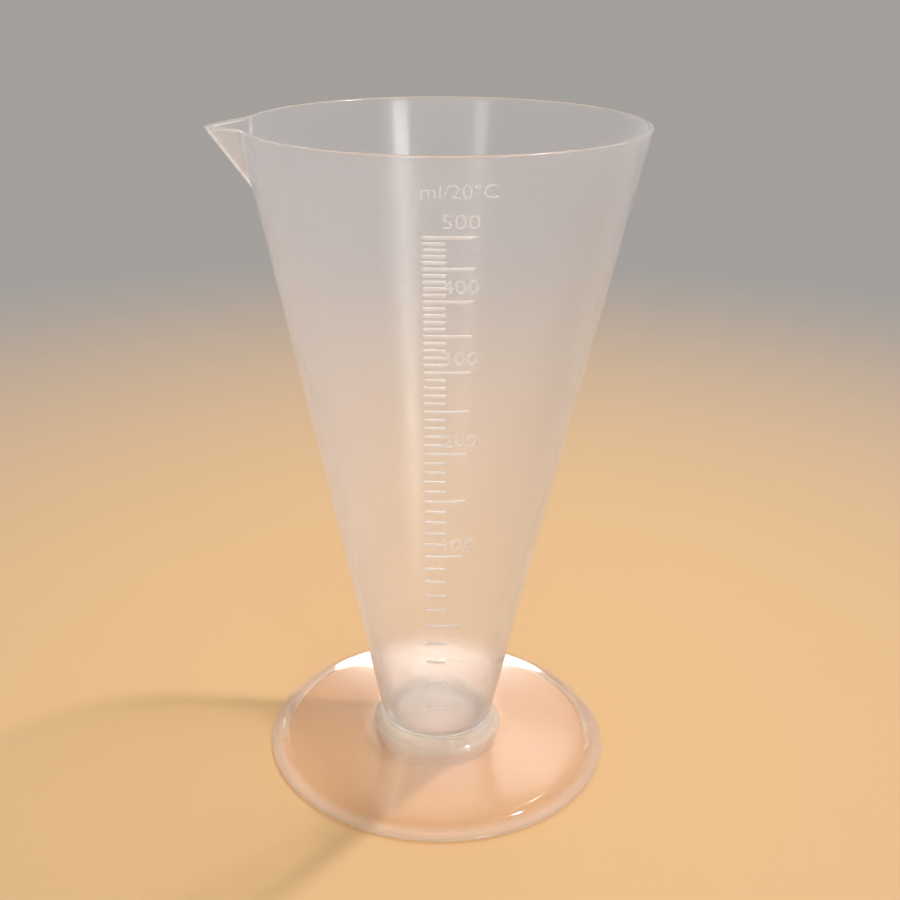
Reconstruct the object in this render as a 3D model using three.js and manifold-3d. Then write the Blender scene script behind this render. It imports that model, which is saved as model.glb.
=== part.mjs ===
// Footed measuring jug for 500 ml: a tapered cup with a pouring lip and a raised scale, set in a round foot.
// Millimetres, +Z up. The origin is on the cup's axis, in the plane that the foot stands on.
// The pouring lip points along -X, and the scale is on the -Y side.
import * as THREE from 'three';
import { ConvexGeometry } from 'three/addons/geometries/ConvexGeometry.js';
import { mergeVertices } from 'three/addons/utils/BufferGeometryUtils.js';
import Module from 'manifold-3d';

const wasm = await Module();
wasm.setup();

// Cup: a straight cone inside and outside
const rimHeight = 183;
const floorHeight = 8.4;
const floorRadius = 14.45;
const taper = 0.2065; // radius gained per millimetre of height
const wall = 1.35; // measured level
const floorThickness = 2;
const floorCorner = 1.6; // rounding inside, between floor and wall
const beadHeight = 1.8;
const beadDepth = 0.35;
const beadRounding = 0.5;
const skirtBottom = 2.5;
const skirtBore = 13.1;
const skirtCorner = 0.8;

// Pouring lip: two flat sides that meet in a keel
const lipReach = 60.2; // tip, from the axis
const lipTipHeight = 182.4;
const lipTipDepth = 0.9; // of the blunt tip, above the keel
const lipHalfAngle = THREE.MathUtils.degToRad(14); // where its sides meet the rim
const keelRootHeight = 165;
const lipWall = 1.3;
const sideRunIn = 0.5; // how far the sides run on into the cup, as a share of their length
const keelRunIn = 0.3;

// Scale: level lines that stand proud of the wall, placed by the volume under them
const scaleTop = 500; // millilitres
const scaleStep = 10;
const millilitre = 1000; // cubic millimetres
const longLineStep = 50;
const scaleAzimuth = THREE.MathUtils.degToRad(262.6);
const lineLeft = -1.7; // along the wall from the scale's azimuth
const shortLineRight = 3.5;
const longLineRightLow = 6.0; // at the floor
const longLineRightHigh = 10.9; // at the rim
const lineHeight = 0.7;
const lineProud = 0.3;

// Foot: a thin, slightly domed plate with a sloping band and a rest ring, and a socket with a shoulder
const footRadius = 49.7;
const edgeHeight = 1.5; // of the widest place
const edgeTop = 2.2; // where the band would meet the edge
const bandRadius = 45;
const bandHeight = 3.4;
const bandRounding = 1;
const plateThickness = 1.8;
const restRingInner = 46.2;
const restRingOuter = 47.9;
const collarRadius = 18.6;
const collarDraft = 0.2;
const collarFoot = 5; // height where the plate meets the collar
const collarFillet = 0.6;
const shoulderLow = 6.3;
const shoulderHigh = 9.9;
const collarLip = 0.3;
const socketFloor = 2.2;
const bossRadius = 17.4;
const seatGap = 0.3; // between the cup's skirt and the socket

const turns = 64; // facets round the axis
const cornerSteps = 4;
const lineFacets = 3;
const clear = 5; // how far a cutting form runs past the piece it cuts
const weld = 1e-4; // points closer than this are one point

const insideAt = (height) => floorRadius + taper * (height - floorHeight);
const outsideAt = (height) => insideAt(height) + wall;

// Points of an outline from its corners: [radius, height, rounding before, rounding after].
function outline(corners) {
  const path = new THREE.Path();
  const toward = (from, to, distance) => {
    const step = new THREE.Vector2(to[0] - from[0], to[1] - from[1]).setLength(distance);
    return new THREE.Vector2(from[0], from[1]).add(step);
  };
  corners.forEach((corner, i) => {
    const [radius, height, before, after = before] = corner;
    if (i === 0) {
      path.moveTo(radius, height);
    } else if (!before) {
      path.lineTo(radius, height);
    } else {
      const start = toward(corner, corners[i - 1], before);
      const end = toward(corner, corners[i + 1], after);
      path.lineTo(start.x, start.y);
      path.quadraticCurveTo(radius, height, end.x, end.y);
    }
  });
  return path.getPoints(cornerSteps);
}

// A turned form round Z, from an outline that starts and ends on the axis.
function turned(corners) {
  return new THREE.LatheGeometry(outline(corners), turns).rotateX(Math.PI / 2);
}

function toSolid(geometry) {
  const bare = geometry.clone();
  bare.deleteAttribute('normal');
  bare.deleteAttribute('uv');
  const merged = mergeVertices(bare, weld);
  const index = merged.index.array;
  const triangles = [];
  for (let i = 0; i < index.length; i += 3) {
    const [a, b, c] = [index[i], index[i + 1], index[i + 2]];
    if (a !== b && b !== c && c !== a) triangles.push(a, b, c);
  }
  return new wasm.Manifold(new wasm.Mesh({
    numProp: 3,
    vertProperties: Float32Array.from(merged.attributes.position.array),
    triVerts: Uint32Array.from(triangles),
  }));
}

function toGeometry(solid) {
  const mesh = solid.getMesh();
  const geometry = new THREE.BufferGeometry();
  geometry.setAttribute('position', new THREE.BufferAttribute(mesh.vertProperties, 3));
  geometry.setIndex(new THREE.BufferAttribute(mesh.triVerts, 1));
  geometry.computeVertexNormals();
  return geometry;
}

// The cup's outer form, solid, with the bead round its rim.
function cupOutside() {
  const beadFoot = rimHeight - beadHeight;
  return toSolid(turned([
    [0, skirtBottom],
    [outsideAt(skirtBottom), skirtBottom],
    [outsideAt(beadFoot), beadFoot],
    [outsideAt(beadFoot) + beadDepth, beadFoot + beadDepth],
    [outsideAt(rimHeight) + beadDepth, rimHeight, beadRounding],
    [0, rimHeight],
  ]));
}

// The space that the cup holds, carried past the rim.
function cupInside() {
  return toSolid(turned([
    [0, floorHeight],
    [floorRadius, floorHeight, floorCorner],
    [insideAt(rimHeight + clear), rimHeight + clear],
    [0, rimHeight + clear],
  ]));
}

// The hollow of the skirt, under the cup's floor.
function skirtHollow() {
  const top = floorHeight - floorThickness;
  return toSolid(turned([
    [0, skirtBottom - clear],
    [skirtBore, skirtBottom - clear],
    [skirtBore, top, skirtCorner],
    [0, top],
  ]));
}

// The lip's corner points: tip, keel's top, the two points where its sides meet the rim, and the keel's root.
const rimOutside = outsideAt(rimHeight);
const lipTip = new THREE.Vector3(-lipReach, 0, lipTipHeight);
const keelTop = new THREE.Vector3(-lipReach, 0, lipTipHeight - lipTipDepth);
const lipFar = new THREE.Vector3(
  -rimOutside * Math.cos(lipHalfAngle),
  rimOutside * Math.sin(lipHalfAngle),
  rimHeight,
);
const lipNear = lipFar.clone().setY(-lipFar.y);
const keelRoot = new THREE.Vector3(-outsideAt(keelRootHeight), 0, keelRootHeight);

// A wedge through those points, carried on into the cup so that it runs into the wall.
function lipPoints() {
  const inward = (point, share) => point.clone().lerp(keelTop, -share);
  const level = (point) => inward(point, sideRunIn).setZ(rimHeight);
  const runIn = [level(lipFar), level(lipNear), inward(keelRoot, keelRunIn)];
  return [lipTip, keelTop, lipFar, lipNear, keelRoot, ...runIn];
}

function lipOutside() {
  return toSolid(new ConvexGeometry(lipPoints()));
}

// The lip's channel: the same wedge moved in by the wall, and open at the top.
function lipInside() {
  const side = new THREE.Plane().setFromCoplanarPoints(keelTop, keelRoot, lipFar);
  const shift = lipWall / Math.abs(side.normal.x);
  const moved = lipPoints().map((point) => point.clone().setX(point.x + shift));
  const raised = moved.map((point) => point.clone().setZ(point.z + clear));
  const topOnly = raised.filter((point) => point.z > rimHeight);
  return toSolid(new ConvexGeometry([...moved, ...topOnly]));
}

// Height of the surface when the cup holds this many millilitres, from the volume of a cone's frustum.
function fillHeight(millilitres) {
  const radius = Math.cbrt((3 * taper * millilitres * millilitre) / Math.PI + floorRadius ** 3);
  return floorHeight + (radius - floorRadius) / taper;
}

// One level line of the scale, let into the wall.
function scaleLine(millilitres) {
  const height = fillHeight(millilitres);
  const radius = outsideAt(height);
  const share = (height - floorHeight) / (rimHeight - floorHeight);
  const longRight = THREE.MathUtils.lerp(longLineRightLow, longLineRightHigh, share);
  const right = millilitres % longLineStep === 0 ? longRight : shortLineRight;
  const start = scaleAzimuth + lineLeft / radius;
  const end = scaleAzimuth + right / radius;
  const shape = new THREE.Shape();
  shape.absarc(0, 0, radius + lineProud, start, end, false);
  shape.absarc(0, 0, radius - wall / 2, end, start, true);
  const line = new THREE.ExtrudeGeometry(shape, {
    depth: lineHeight,
    curveSegments: lineFacets,
    bevelEnabled: false,
  });
  return toSolid(line.translate(0, 0, height - lineHeight / 2));
}

function cupBody() {
  const outside = cupOutside().add(lipOutside());
  const inside = cupInside().add(lipInside()).add(skirtHollow());
  let cup = outside.subtract(inside);
  for (let millilitres = scaleStep; millilitres <= scaleTop; millilitres += scaleStep) {
    cup = cup.add(scaleLine(millilitres));
  }
  return toGeometry(cup);
}

function foot() {
  const bore = (height) => outsideAt(height) + seatGap;
  return turned([
    [0, 0],
    [bossRadius, 0],
    [bossRadius, collarFoot - plateThickness],
    [bandRadius, bandHeight - plateThickness],
    [restRingInner, 0],
    [footRadius, 0, footRadius - restRingOuter, edgeHeight],
    [footRadius, edgeTop, edgeTop - edgeHeight],
    [bandRadius, bandHeight, bandRounding],
    [collarRadius + collarDraft, collarFoot, collarFillet],
    [collarRadius - collarDraft, shoulderLow, collarFillet],
    [bore(shoulderHigh) + collarLip, shoulderHigh],
    [bore(shoulderHigh), shoulderHigh],
    [bore(socketFloor), socketFloor],
    [0, socketFloor],
  ]);
}

function piece(name, geometry, material) {
  const mesh = new THREE.Mesh(geometry, new THREE.MeshStandardMaterial(material));
  mesh.name = name;
  return mesh;
}

const jug = new THREE.Group();
jug.add(piece('cup_body', cupBody(), { color: 0xe6ddd8, roughness: 0.3, metalness: 0 }));
jug.add(piece('foot', foot(), { color: 0xe4d9d2, roughness: 0.28, metalness: 0 }));

export default jug;
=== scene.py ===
from math import atan2, cbrt, cos, hypot, pi, radians, sin

import bmesh
import bpy
from mathutils import Euler, Matrix, Vector


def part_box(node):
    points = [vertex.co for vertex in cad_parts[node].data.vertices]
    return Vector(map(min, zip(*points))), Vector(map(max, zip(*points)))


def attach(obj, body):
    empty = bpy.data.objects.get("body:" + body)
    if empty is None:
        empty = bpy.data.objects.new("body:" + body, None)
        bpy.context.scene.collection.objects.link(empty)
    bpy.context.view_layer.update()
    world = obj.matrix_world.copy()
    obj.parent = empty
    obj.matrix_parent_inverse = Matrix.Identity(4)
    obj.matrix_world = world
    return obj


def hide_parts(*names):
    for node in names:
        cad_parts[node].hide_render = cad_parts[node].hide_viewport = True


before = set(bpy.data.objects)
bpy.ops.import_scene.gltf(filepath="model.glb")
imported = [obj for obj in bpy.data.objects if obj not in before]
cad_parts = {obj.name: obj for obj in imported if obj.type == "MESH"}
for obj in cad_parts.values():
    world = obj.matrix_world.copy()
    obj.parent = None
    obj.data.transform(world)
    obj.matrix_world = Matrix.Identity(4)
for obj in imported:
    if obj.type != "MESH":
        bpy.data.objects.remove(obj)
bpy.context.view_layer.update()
scene = bpy.context.scene
scene.view_settings.view_transform = "Standard"
scene.cycles.max_bounces = 48  # light crosses many faces of the see-through walls
scene.cycles.transmission_bounces = 48
scene.cycles.glossy_bounces = 32
scene.cycles.volume_bounces = 24
scene.cycles.transparent_max_bounces = 48
mm = 0.001  # pieces are drawn in millimetres and scaled when they are finished
cupLow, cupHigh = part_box("cup_body")
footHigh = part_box("foot")[1]
print("frame loaded")

# Camera, at the photograph's viewing angle
cameraView = {
    "place": (-0.02221, -0.31757, 0.22758),
    "tilt": 68.78,  # from straight down
    "turn": -1.966,
    "sensor": 36,
    "lens": 49.73,
    "shift": (0.0563, -0.0398),
    "nearest": 0.01,
}


def placeCamera():
    data = bpy.data.cameras.new("camera")
    data.sensor_width = cameraView["sensor"]
    data.lens = cameraView["lens"]
    data.shift_x, data.shift_y = cameraView["shift"]
    data.clip_start = cameraView["nearest"]
    camera = bpy.data.objects.new("camera", data)
    camera.location = cameraView["place"]
    camera.rotation_euler = Euler((radians(cameraView["tilt"]), 0, radians(cameraView["turn"])))
    scene.collection.objects.link(camera)
    scene.camera = camera


placeCamera()
print("camera placed")

# Milky translucent plastic
haze = {
    "cloudSize": 38,  # repeats per metre
    "cloudDetail": 3,
    "streakSize": 7,  # repeats round the axis
    "streakDetail": 4,
    "cloudRough": 0.03,  # most that the clouds add to the roughness
}
cupLook = {
    "paleColor": (0.998, 0.987, 0.981, 1),
    "deepColor": (0.99, 0.977, 0.971, 1),
    "clear": 0.97,  # share of light that passes on at each face
    "rough": 0.19,
    "innerGloss": 0.15,  # of the rough face under the clear skin
    "streaks": 0.03,  # most that they add to the roughness
    "gloss": 0.7,  # of the clear skin
    "glossRough": 0.12,
    "lampTint": (0.985, 0.98, 0.98, 1),  # of lamplight at each face
    "milk": 115,  # scattering per metre
    "milkColor": (0.8, 0.79, 0.95, 1),
    "forward": 0.08,  # how far scattered light keeps its way
}
footLook = {
    "paleColor": (0.998, 0.95, 0.9, 1),
    "deepColor": (0.99, 0.94, 0.89, 1),
    "clear": 0.97,
    "rough": 0.19,
    "innerGloss": 0,
    "streaks": 0,
    "gloss": 0.8,
    "glossRough": 0.06,
    "lampTint": (0.97, 0.91, 0.865, 1),
    "milk": 45,
    "milkRings": (  # added where the foot is thick: distance from the axis, scattering per metre
        (0, 0), (0.0125, 0), (0.015, 650), (0.018, 650), (0.0198, 0), (0.0455, 0), (0.048, 380),
    ),
    "milkColor": (1, 0.87, 0.74, 1),
    "forward": 0,
    "soak": 42,  # light taken up, per metre
    "soakColor": (1, 0.62, 0.32, 1),
}
markLook = {
    "paleColor": (0.998, 0.985, 0.985, 1),
    "deepColor": (0.98, 0.965, 0.965, 1),
    "clear": 0.8,
    "rough": 0.19,
    "innerGloss": 0.15,
    "streaks": 0,
    "gloss": 1,
    "glossRough": 0.05,
    "lampTint": (0.97, 0.965, 0.965, 1),
    "milk": 300,
    "milkColor": (0.995, 0.99, 1, 1),
    "forward": 0,
}
refraction = 1.33


def grey(level):
    return (level, level, level, 1)


def mouldedHaze():
    group = bpy.data.node_groups.new("mouldedHaze", "ShaderNodeTree")
    inputs = {
        "Vector": "NodeSocketVector",
        "Pale": "NodeSocketColor",
        "Deep": "NodeSocketColor",
        "Rough": "NodeSocketFloat",
        "Streaks": "NodeSocketFloat",
    }
    outputs = {"Color": "NodeSocketColor", "Roughness": "NodeSocketFloat"}
    for name, kind in inputs.items():
        group.interface.new_socket(name, in_out="INPUT", socket_type=kind)
    for name, kind in outputs.items():
        group.interface.new_socket(name, in_out="OUTPUT", socket_type=kind)
    nodes, link = group.nodes, group.links.new
    given = nodes.new("NodeGroupInput")
    made = nodes.new("NodeGroupOutput")

    cloud = nodes.new("ShaderNodeTexNoise")  # uneven haze in the moulding
    cloud.inputs["Scale"].default_value = haze["cloudSize"]
    cloud.inputs["Detail"].default_value = haze["cloudDetail"]
    link(given.outputs["Vector"], cloud.inputs["Vector"])

    split = nodes.new("ShaderNodeSeparateXYZ")  # streaks along the wall, as the plastic flowed
    level = nodes.new("ShaderNodeCombineXYZ")
    around = nodes.new("ShaderNodeVectorMath")
    around.operation = "NORMALIZE"
    streak = nodes.new("ShaderNodeTexNoise")
    streak.inputs["Scale"].default_value = haze["streakSize"]
    streak.inputs["Detail"].default_value = haze["streakDetail"]
    link(given.outputs["Vector"], split.inputs[0])
    link(split.outputs["X"], level.inputs["X"])
    link(split.outputs["Y"], level.inputs["Y"])
    link(level.outputs[0], around.inputs[0])
    link(around.outputs[0], streak.inputs["Vector"])

    tint = nodes.new("ShaderNodeMix")
    tint.data_type = "RGBA"
    link(cloud.outputs["Fac"], tint.inputs["Factor"])
    link(given.outputs["Pale"], tint.inputs["A"])
    link(given.outputs["Deep"], tint.inputs["B"])
    link(tint.outputs["Result"], made.inputs["Color"])

    cloudRough = nodes.new("ShaderNodeMath")
    cloudRough.operation = "MULTIPLY_ADD"
    cloudRough.inputs[1].default_value = haze["cloudRough"]
    link(cloud.outputs["Fac"], cloudRough.inputs[0])
    link(given.outputs["Rough"], cloudRough.inputs[2])
    streakRough = nodes.new("ShaderNodeMath")
    streakRough.operation = "MULTIPLY_ADD"
    link(given.outputs["Streaks"], streakRough.inputs[1])
    link(streak.outputs["Fac"], streakRough.inputs[0])
    link(cloudRough.outputs[0], streakRough.inputs[2])
    link(streakRough.outputs[0], made.inputs["Roughness"])
    return group


hazeGroup = mouldedHaze()


def thickMilk(nodes, link, place, look):  # denser in the collar and at the edge, where the foot is thick
    level = nodes.new("ShaderNodeVectorMath")
    level.operation = "MULTIPLY"
    level.inputs[1].default_value = (1, 1, 0)  # leaves the height out
    radius = nodes.new("ShaderNodeVectorMath")
    radius.operation = "LENGTH"
    link(place, level.inputs[0])
    link(level.outputs[0], radius.inputs[0])
    span = look["milkRings"][-1][0]
    peak = max(amount for reach, amount in look["milkRings"])
    share = nodes.new("ShaderNodeMath")
    share.operation = "DIVIDE"
    share.inputs[1].default_value = span
    ramp = nodes.new("ShaderNodeValToRGB")
    ramp.color_ramp.interpolation = "EASE"
    stops = ramp.color_ramp.elements
    stops.remove(stops[1])
    for reach, amount in look["milkRings"]:
        stop = stops.new(reach / span) if reach else stops[0]  # a ramp always has its first stop
        stop.color = grey(amount / peak)
    density = nodes.new("ShaderNodeMath")
    density.operation = "MULTIPLY_ADD"
    density.inputs[1].default_value = peak
    density.inputs[2].default_value = look["milk"]
    link(radius.outputs["Value"], share.inputs[0])
    link(share.outputs[0], ramp.inputs[0])
    link(ramp.outputs["Color"], density.inputs[0])
    return density.outputs[0]


def milkyPlastic(name, look):
    material = bpy.data.materials.new(name)
    material.use_nodes = True
    nodes, link = material.node_tree.nodes, material.node_tree.links.new
    nodes.clear()
    place = nodes.new("ShaderNodeTexCoord")
    surface = nodes.new("ShaderNodeGroup")
    surface.node_tree = hazeGroup
    surface.inputs["Pale"].default_value = look["paleColor"]
    surface.inputs["Deep"].default_value = look["deepColor"]
    surface.inputs["Rough"].default_value = look["rough"]
    surface.inputs["Streaks"].default_value = look["streaks"]
    link(place.outputs["Object"], surface.inputs["Vector"])
    plastic = nodes.new("ShaderNodeBsdfPrincipled")
    plastic.inputs["IOR"].default_value = refraction
    plastic.inputs["Transmission Weight"].default_value = look["clear"]
    plastic.inputs["Specular Tint"].default_value = grey(look["innerGloss"])
    plastic.inputs["Coat Weight"].default_value = look["gloss"]
    plastic.inputs["Coat Roughness"].default_value = look["glossRough"]
    link(surface.outputs["Color"], plastic.inputs["Base Color"])
    link(surface.outputs["Roughness"], plastic.inputs["Roughness"])
    film = nodes.new("ShaderNodeBsdfTransparent")  # lamps shine through, so the shadow stays pale
    film.inputs["Color"].default_value = look["lampTint"]
    path = nodes.new("ShaderNodeLightPath")
    seen = nodes.new("ShaderNodeMixShader")
    lit = nodes.new("ShaderNodeMixShader")
    out = nodes.new("ShaderNodeOutputMaterial")
    link(path.outputs["Is Diffuse Ray"], seen.inputs[0])
    link(plastic.outputs[0], seen.inputs[1])
    link(film.outputs[0], seen.inputs[2])
    link(path.outputs["Is Shadow Ray"], lit.inputs[0])
    link(seen.outputs[0], lit.inputs[1])
    link(film.outputs[0], lit.inputs[2])
    link(lit.outputs[0], out.inputs["Surface"])
    milk = nodes.new("ShaderNodeVolumeScatter")
    milk.inputs["Color"].default_value = look["milkColor"]
    milk.inputs["Density"].default_value = look["milk"]
    milk.inputs["Anisotropy"].default_value = look["forward"]
    if "milkRings" in look:
        link(thickMilk(nodes, link, place.outputs["Object"], look), milk.inputs["Density"])
    inside = milk
    if "soak" in look:
        soak = nodes.new("ShaderNodeVolumeAbsorption")
        soak.inputs["Color"].default_value = look["soakColor"]
        soak.inputs["Density"].default_value = look["soak"]
        inside = nodes.new("ShaderNodeAddShader")
        link(milk.outputs[0], inside.inputs[0])
        link(soak.outputs[0], inside.inputs[1])
    link(inside.outputs[0], out.inputs["Volume"])
    return material


cupPlastic = milkyPlastic("cupPlastic", cupLook)
footPlastic = milkyPlastic("footPlastic", footLook)
markPlastic = milkyPlastic("markPlastic", markLook)
print("plastics mixed")

# Shared ways of shaping, in millimetres
shaping = {
    "merge": 0.001,  # points closer than this are one point
    "slack": 0.1,  # for heights that are nearly alike
    "sharp": radians(40),  # least angle of an edge that stays crisp
}


def drawOutline(bm, corners, segments):
    verts = [bm.verts.new((radius, 0, height)) for radius, height, rounding in corners]
    for first, second in zip(verts, verts[1:]):
        bm.edges.new((first, second))
    for vert, (radius, height, rounding) in zip(verts, corners):
        if rounding:
            bmesh.ops.bevel(bm, geom=[vert], offset=rounding, segments=segments, profile=0.5,
                            affect="VERTICES", material=-1)


def addRows(bm, low, high, rowHeight):  # cuts the outline's long lines between two heights
    for edge in bm.edges[:]:
        heights = [vert.co.z for vert in edge.verts]
        cuts = int(edge.calc_length() / rowHeight)
        if cuts and low - shaping["slack"] <= min(heights) and max(heights) <= high + shaping["slack"]:
            bmesh.ops.subdivide_edges(bm, edges=[edge], cuts=cuts)


def spinRound(bm, zones):
    geom = bm.verts[:] + bm.edges[:]
    for angle, steps in zones:
        turned = bmesh.ops.spin(bm, geom=geom, cent=(0, 0, 0), axis=(0, 0, 1), angle=angle, steps=steps,
                                use_merge=len(zones) == 1)
        geom = turned["geom_last"]
    bmesh.ops.remove_doubles(bm, verts=bm.verts, dist=shaping["merge"])
    bmesh.ops.recalc_face_normals(bm, faces=bm.faces)


def finishPiece(name, bm, material, slot, *nodes):
    bmesh.ops.scale(bm, vec=(mm, mm, mm), verts=bm.verts)
    mesh = bpy.data.meshes.new(name)
    bm.to_mesh(mesh)
    bm.free()
    mesh.shade_smooth()
    mesh.set_sharp_from_angle(angle=shaping["sharp"])
    mesh.materials.append(material)
    piece = bpy.data.objects.new(name, mesh)
    scene.collection.objects.link(piece)
    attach(piece, "root")
    if nodes:
        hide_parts(*nodes)
    print(name, len(mesh.polygons), "faces")


# Cup, a straight cone with a bead round the rim
cup = {
    "rimHeight": cupHigh.z / mm,
    "skirtBottom": cupLow.z / mm,
    "floorHeight": 8.4,
    "floorRadius": 14.45,
    "taper": 0.2065,  # radius gained per millimetre of height
    "wall": 1.35,
    "floorThickness": 2,
    "floorCorner": 3.4,
    "skirtBore": 13.1,
    "skirtCorner": 0.8,
    "skirtEdge": 0.3,
    "beadHeight": 0.9,
    "beadDepth": 0.12,
    "beadRound": 0.2,
    "rimRound": 0.5,
    "roundSegments": 5,
    "wallRow": 9,
}
lip = {
    "reach": -cupLow.x / mm,
    "tipHeight": 182.4,
    "tipDepth": 0.9,  # of the blunt tip, above the keel
    "halfAngle": radians(14),
    "keelRoot": 165,
    "wall": 1.3,
    "keelRound": 0.55,
    "crease": 0.25,
    "zone": radians(44),  # round the lip, with close steps
    "zoneSteps": 112,
    "restSteps": 150,
    "start": 158,  # height where the close rows begin
    "row": 0.7,
}


def insideAt(height):
    return cup["floorRadius"] + cup["taper"] * (height - cup["floorHeight"])


def outsideAt(height):
    return insideAt(height) + cup["wall"]


def softMax(first, second, width):  # the larger one, rounded where they cross
    return (first + second + hypot(first - second, width)) / 2


def lipSide(shift):  # the flat side's outward normal, and its distance from the axis's foot
    rim = outsideAt(cup["rimHeight"])
    tip = Vector((shift - lip["reach"], 0, lip["tipHeight"] - lip["tipDepth"]))
    root = Vector((shift - outsideAt(lip["keelRoot"]), 0, lip["keelRoot"]))
    side = Vector((shift - rim * cos(lip["halfAngle"]), rim * sin(lip["halfAngle"]), cup["rimHeight"]))
    normal = (side - tip).cross(root - tip).normalized()
    if normal.x > 0:
        normal.negate()
    return normal, normal.dot(tip)


def lipRadius(side, reach, turn, height):
    normal, distance = side
    blunt = hypot(turn, lip["keelRound"] / reach)  # rounds the keel
    across = -normal.x * cos(blunt) + normal.y * sin(blunt)
    wedge = (distance - normal.z * height) / across
    return -softMax(-wedge, -reach / cos(turn), lip["keelRound"])


def pullLip(bm):  # draws the wall out into the lip, most at the rim
    rim = cup["rimHeight"]
    outer = lipSide(0)
    shift = lip["wall"] / abs(outer[0].x)
    inner = lipSide(shift)
    for vert in bm.verts:
        x, y, height = vert.co
        turn = abs(atan2(y, -x))
        if height < lip["start"] or turn > lip["zone"] / 2:
            continue
        radius = hypot(x, y)
        outside, inside = outsideAt(height), insideAt(height)
        outLip = lipRadius(outer, lip["reach"], turn, height)
        inLip = lipRadius(inner, lip["reach"] - shift, turn, height)
        outGrow = softMax(outside, outLip, lip["crease"]) - outside
        inGrow = softMax(inside, inLip, lip["crease"]) - inside
        share = min(max((radius - inside) / cup["wall"], 0), 1)  # 0 on the inner face, 1 on the outer
        grown = radius + inGrow + (outGrow - inGrow) * share
        vert.co.x *= grown / radius
        vert.co.y *= grown / radius
        drop = (rim - lip["tipHeight"]) * (grown - radius) / (lip["reach"] - outsideAt(rim))
        vert.co.z -= drop * (height - lip["start"]) / (rim - lip["start"])


def mouldCup():
    bm = bmesh.new()
    rim = cup["rimHeight"]
    bead = rim - cup["beadHeight"]
    below = cup["floorHeight"] - cup["floorThickness"]
    drawOutline(bm, [
        (0, cup["floorHeight"], 0),
        (cup["floorRadius"], cup["floorHeight"], cup["floorCorner"]),
        (insideAt(lip["start"]), lip["start"], 0),
        (insideAt(rim), rim, cup["rimRound"]),
        (outsideAt(rim) + cup["beadDepth"], rim, cup["rimRound"]),
        (outsideAt(bead) + cup["beadDepth"], bead, cup["beadRound"]),
        (outsideAt(bead - cup["beadDepth"]), bead - cup["beadDepth"], cup["beadRound"]),
        (outsideAt(lip["start"]), lip["start"], 0),
        (outsideAt(cup["skirtBottom"]), cup["skirtBottom"], cup["skirtEdge"]),
        (cup["skirtBore"], cup["skirtBottom"], cup["skirtEdge"]),
        (cup["skirtBore"], below, cup["skirtCorner"]),
        (0, below, 0),
    ], cup["roundSegments"])
    addRows(bm, lip["start"], rim, lip["row"])
    addRows(bm, 0, lip["start"], cup["wallRow"])
    toZone = Matrix.Rotation(pi - lip["zone"] / 2, 3, "Z")
    bmesh.ops.rotate(bm, verts=bm.verts, cent=(0, 0, 0), matrix=toZone)
    spinRound(bm, [(lip["zone"], lip["zoneSteps"]), (2 * pi - lip["zone"], lip["restSteps"])])
    pullLip(bm)
    finishPiece("moulded_cup", bm, cupPlastic, "cup_plastic", "cup_body")


mouldCup()

# Raised scale, drawn flat (along the wall, up, out of the wall) and then laid round the cone
scale = {
    "top": 500,  # millilitres
    "millilitre": 1000,  # cubic millimetres
    "step": 10,
    "longStep": 50,
    "azimuth": radians(262.6),
    "left": -1.7,  # along the wall from that azimuth
    "shortRight": 3.5,
    "longRightLow": 6.0,  # at the floor
    "longRightHigh": 10.9,  # at the rim
    "height": 0.75,
    "proud": 0.4,
    "sunk": 0.3,
    "round": 0.3,
    "roundSegments": 3,
    "cuts": 5,  # so that a line follows the round wall
}
numbers = {
    "values": (100, 200, 300, 400, 500),
    "left": 2.6,
    "rise": 2.1,  # from a line's middle to the foot of its number
    "height": 3.4,
    "width": 8.6,
    "unit": "ml/20°C",
    "unitLeft": -2.0,
    "unitRise": 9.1,
    "unitWidth": 17,
    "proud": 0.28,
    "sunk": 0.3,
    "curveSteps": 4,
    "drawnDepth": 0.5,  # of the letters, before they get their size
    "merge": 1e-5,
}


def fillHeight(millilitres):  # height of the surface in a cone that holds so much
    volume = millilitres * scale["millilitre"]
    radius = cbrt(3 * cup["taper"] * volume / pi + cup["floorRadius"] ** 3)
    return cup["floorHeight"] + (radius - cup["floorRadius"]) / cup["taper"]


def layOnWall(bm):
    for vert in bm.verts:
        along, height, out = vert.co
        azimuth = scale["azimuth"] + along / outsideAt(height)
        radius = outsideAt(height) + out
        vert.co = (radius * cos(azimuth), radius * sin(azimuth), height)


def raiseLines():
    bm = bmesh.new()
    for millilitres in range(scale["step"], scale["top"] + 1, scale["step"]):
        height = fillHeight(millilitres)
        share = (height - cup["floorHeight"]) / (cup["rimHeight"] - cup["floorHeight"])
        longRight = scale["longRightLow"] + share * (scale["longRightHigh"] - scale["longRightLow"])
        right = scale["shortRight"] if millilitres % scale["longStep"] else longRight
        middle = ((scale["left"] + right) / 2, height, (scale["proud"] - scale["sunk"]) / 2)
        size = (right - scale["left"], scale["height"], scale["proud"] + scale["sunk"])
        bmesh.ops.create_cube(bm, size=1, matrix=Matrix.LocRotScale(middle, None, size))
    front = [edge for edge in bm.edges if min(vert.co.z for vert in edge.verts) > 0]
    bmesh.ops.bevel(bm, geom=front, offset=scale["round"], segments=scale["roundSegments"], profile=0.5,
                    affect="EDGES", material=-1)
    reach = {edge: abs(edge.verts[0].co.x - edge.verts[1].co.x) for edge in bm.edges}
    lengthwise = [edge for edge in bm.edges if reach[edge] > scale["height"]]
    bmesh.ops.subdivide_edges(bm, edges=lengthwise, cuts=scale["cuts"])
    layOnWall(bm)
    finishPiece("scale_lines", bm, markPlastic, "cup_plastic")


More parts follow.
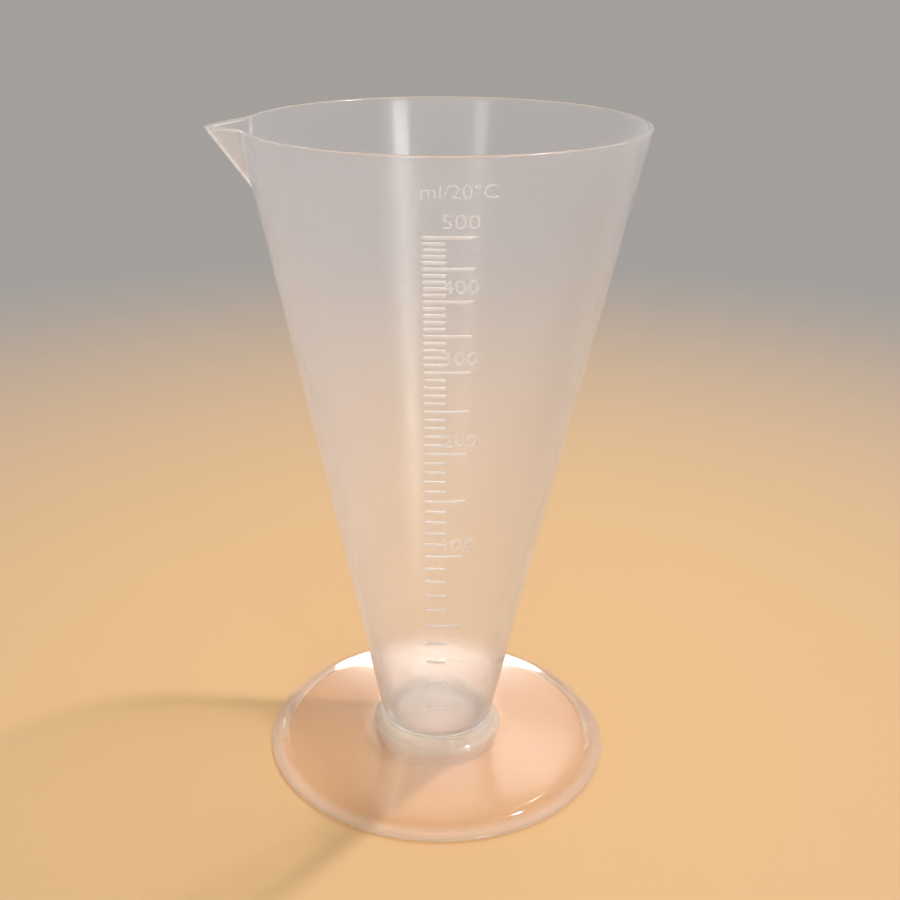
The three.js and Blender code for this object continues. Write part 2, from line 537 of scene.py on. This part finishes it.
def addWords(bm, words, left, base, width):
    letters = bpy.data.curves.new("letters", "FONT")
    letters.body = words
    letters.resolution_u = numbers["curveSteps"]
    letters.extrude = numbers["drawnDepth"]
    label = bpy.data.objects.new("letters", letters)
    scene.collection.objects.link(label)
    mesh = bpy.data.meshes.new_from_object(label.evaluated_get(bpy.context.evaluated_depsgraph_get()))
    bpy.data.objects.remove(label)
    before = set(bm.verts)
    bm.from_mesh(mesh)
    bpy.data.meshes.remove(mesh)
    verts = [vert for vert in bm.verts if vert not in before]
    bmesh.ops.remove_doubles(bm, verts=verts, dist=numbers["merge"])
    verts = [vert for vert in bm.verts if vert not in before]
    low = [min(vert.co[i] for vert in verts) for i in range(3)]
    high = [max(vert.co[i] for vert in verts) for i in range(3)]
    depth = numbers["proud"] + numbers["sunk"]
    sizes = (width / (high[0] - low[0]), numbers["height"] / (high[1] - low[1]), depth / (high[2] - low[2]))
    bmesh.ops.translate(bm, verts=verts, vec=[-value for value in low])
    bmesh.ops.scale(bm, verts=verts, vec=sizes)
    bmesh.ops.translate(bm, verts=verts, vec=(left, base, -numbers["sunk"]))


def raiseNumbers():
    bm = bmesh.new()
    for value in numbers["values"]:
        addWords(bm, str(value), numbers["left"], fillHeight(value) + numbers["rise"], numbers["width"])
    unitBase = fillHeight(scale["top"]) + numbers["unitRise"]
    addWords(bm, numbers["unit"], numbers["unitLeft"], unitBase, numbers["unitWidth"])
    layOnWall(bm)
    finishPiece("scale_numbers", bm, markPlastic, "cup_plastic")


raiseLines()
raiseNumbers()

# Foot, a thin domed plate with a collar that holds the cup
foot = {
    "radius": footHigh.x / mm,
    "edgeHeight": 0.5,
    "edgeRound": 0.3,
    "edgeTop": 1.4,
    "edgeTopRound": 0.5,
    "bandRadius": 45.9,
    "bandHeight": 3.5,
    "bandRound": 0.7,
    "plate": 1.2,
    "hollowRadius": 44,  # where the underside turns down to the rest ring
    "hollowRound": 0.9,
    "ringInner": 46.6,
    "ringOuter": 48.9,
    "ringRound": 0.3,
    "collarRadius": 18.6,
    "collarDraft": 0.15,
    "collarFoot": 5.9,
    "collarFillet": 0.25,
    "stepHeight": 6.5,
    "stepRound": 0.3,
    "ringRadius": 17.4,
    "ringFoot": 6.65,
    "ringFillet": 0.4,
    "ringHeight": 9.1,
    "ringTopRound": 0.7,
    "shoulderHigh": footHigh.z / mm,
    "collarLip": 0.05,
    "lipRound": 0.02,
    "socketFloor": 2.2,
    "bossRadius": 17.4,
    "bossRound": 0.5,
    "seatGap": 0.05,
    "segments": 5,
    "steps": 192,
    "row": 6,
}


def mouldFoot():
    bm = bmesh.new()
    mouth = outsideAt(foot["shoulderHigh"]) + foot["seatGap"]
    seat = outsideAt(foot["socketFloor"]) + foot["seatGap"]
    drawOutline(bm, [
        (0, 0, 0),
        (foot["bossRadius"], 0, foot["bossRound"]),
        (foot["bossRadius"], foot["collarFoot"] - foot["plate"], foot["bossRound"]),
        (foot["hollowRadius"], foot["bandHeight"] - foot["plate"], foot["hollowRound"]),
        (foot["ringInner"], 0, foot["ringRound"]),
        (foot["ringOuter"], 0, foot["ringRound"]),
        (foot["radius"], foot["edgeHeight"], foot["edgeRound"]),
        (foot["radius"], foot["edgeTop"], foot["edgeTopRound"]),
        (foot["bandRadius"], foot["bandHeight"], foot["bandRound"]),
        (foot["collarRadius"] + foot["collarDraft"], foot["collarFoot"], foot["collarFillet"]),
        (foot["collarRadius"] - foot["collarDraft"], foot["stepHeight"], foot["stepRound"]),
        (foot["ringRadius"] + foot["collarDraft"], foot["ringFoot"], foot["ringFillet"]),
        (foot["ringRadius"] - foot["collarDraft"], foot["ringHeight"], foot["ringTopRound"]),
        (mouth + foot["collarLip"], foot["shoulderHigh"], foot["lipRound"]),
        (mouth, foot["shoulderHigh"], foot["lipRound"]),
        (seat, foot["socketFloor"], foot["bossRound"]),
        (0, foot["socketFloor"], 0),
    ], foot["segments"])
    addRows(bm, 0, foot["shoulderHigh"], foot["row"])
    spinRound(bm, [(2 * pi, foot["steps"])])
    finishPiece("moulded_foot", bm, footPlastic, "foot_plastic", "foot")


mouldFoot()

# Floor, lamps and surroundings
stage = {
    "floorRadius": 6,
    "floorSegments": 96,
    "floorColor": (0.72, 0.465, 0.24, 1),
    "nearReach": 0.05,  # from the axis, where the floor begins to fade
    "farReach": 0.62,
    "airColor": (0.37, 0.348, 0.332, 1),  # as it is seen
    "airLight": (0.58, 0.552, 0.525, 1),  # as it lights
}
lamps = {
    "key": {"place": (0.84, 0.32, 1.9), "size": (0.08, 0.08), "watts": 19},
    "rearLeft": {"place": (-0.485, 0.815, 0.317), "size": (0.06, 0.06), "watts": 0.15},
    "rightStrip": {"place": (0.38, -0.82, 0.2), "size": (0.15, 0.5), "watts": 1.5},
    "back": {"place": (0.15, 0.9, 0.8), "size": (0.5, 0.3), "watts": 2.6},
    "front": {"place": (-0.05, -1.05, 0.4), "size": (1.2, 0.6), "watts": 1.7},
    "leftStrip": {"place": (-0.42, -0.79, 0.25), "size": (0.12, 0.45), "watts": 0.4},
}
pane = {  # a bright card behind, which only shows in the gloss
    "place": (0.023, 0.3, 0.106),
    "size": (0.163, 0.038),
    "strength": 11,
}


def hangPane():
    bm = bmesh.new()
    bmesh.ops.create_grid(bm, x_segments=1, y_segments=1, size=0.5)  # a metre across
    bmesh.ops.scale(bm, vec=(*pane["size"], 1), verts=bm.verts)
    bmesh.ops.rotate(bm, verts=bm.verts, cent=(0, 0, 0), matrix=Matrix.Rotation(pi / 2, 3, "X"))
    bmesh.ops.translate(bm, verts=bm.verts, vec=pane["place"])
    mesh = bpy.data.meshes.new("pane")
    bm.to_mesh(mesh)
    bm.free()
    card = bpy.data.objects.new("pane", mesh)
    scene.collection.objects.link(card)
    card.visible_camera = card.visible_diffuse = card.visible_transmission = False
    card.visible_volume_scatter = card.visible_shadow = False
    material = bpy.data.materials.new("paneGlow")
    material.use_nodes = True
    material.cycles.emission_sampling = "NONE"
    nodes, link = material.node_tree.nodes, material.node_tree.links.new
    nodes.clear()
    glow = nodes.new("ShaderNodeEmission")
    glow.inputs["Strength"].default_value = pane["strength"]
    out = nodes.new("ShaderNodeOutputMaterial")
    link(glow.outputs[0], out.inputs["Surface"])
    mesh.materials.append(material)


def layFloor():
    bm = bmesh.new()
    bmesh.ops.create_circle(bm, cap_ends=True, radius=stage["floorRadius"],
                            segments=stage["floorSegments"])
    mesh = bpy.data.meshes.new("floor")
    bm.to_mesh(mesh)
    bm.free()
    floor = bpy.data.objects.new("floor", mesh)
    scene.collection.objects.link(floor)
    material = bpy.data.materials.new("paleFloor")
    material.use_nodes = True
    nodes, link = material.node_tree.nodes, material.node_tree.links.new
    paint = nodes["Principled BSDF"]
    paint.inputs["Specular IOR Level"].default_value = 0  # matt
    paint.inputs["Base Color"].default_value = stage["floorColor"]
    place = nodes.new("ShaderNodeTexCoord")
    far = nodes.new("ShaderNodeVectorMath")
    far.operation = "LENGTH"
    fade = nodes.new("ShaderNodeMapRange")
    fade.interpolation_type = "SMOOTHSTEP"
    fade.inputs["From Min"].default_value = stage["nearReach"]
    fade.inputs["From Max"].default_value = stage["farReach"]
    air = nodes.new("ShaderNodeEmission")  # far off, the floor fades into the air
    air.inputs["Color"].default_value = stage["airColor"]
    mix = nodes.new("ShaderNodeMixShader")
    link(place.outputs["Object"], far.inputs[0])
    link(far.outputs["Value"], fade.inputs["Value"])
    link(fade.outputs["Result"], mix.inputs[0])
    link(paint.outputs[0], mix.inputs[1])
    link(air.outputs[0], mix.inputs[2])
    link(mix.outputs[0], nodes["Material Output"].inputs["Surface"])
    mesh.materials.append(material)


def lightRoom():
    world = bpy.data.worlds.new("air")
    scene.world = world
    world.use_nodes = True
    nodes, link = world.node_tree.nodes, world.node_tree.links.new
    path = nodes.new("ShaderNodeLightPath")
    camera = nodes.new("ShaderNodeMath")
    camera.operation = "MAXIMUM"
    shown = nodes.new("ShaderNodeMath")
    shown.operation = "MAXIMUM"
    mix = nodes.new("ShaderNodeMix")
    mix.data_type = "RGBA"
    mix.inputs["A"].default_value = stage["airLight"]
    mix.inputs["B"].default_value = stage["airColor"]
    link(path.outputs["Is Camera Ray"], camera.inputs[0])
    link(path.outputs["Is Glossy Ray"], camera.inputs[1])
    link(camera.outputs[0], shown.inputs[0])
    link(path.outputs["Is Transmission Ray"], shown.inputs[1])
    link(shown.outputs[0], mix.inputs["Factor"])
    link(mix.outputs["Result"], nodes["Background"].inputs["Color"])
    for name, lamp in lamps.items():
        data = bpy.data.lights.new(name, "AREA")
        data.shape = "RECTANGLE"
        data.size, data.size_y = lamp["size"]
        data.energy = lamp["watts"]
        light = bpy.data.objects.new(name, data)
        light.location = lamp["place"]
        light.rotation_euler = (-Vector(lamp["place"])).to_track_quat("-Z", "Y").to_euler()
        light.visible_camera = False
        light.visible_glossy = name != "back"  # the foot's plate would mirror it
        scene.collection.objects.link(light)


layFloor()
hangPane()
lightRoom()
print("floor and lamps set")
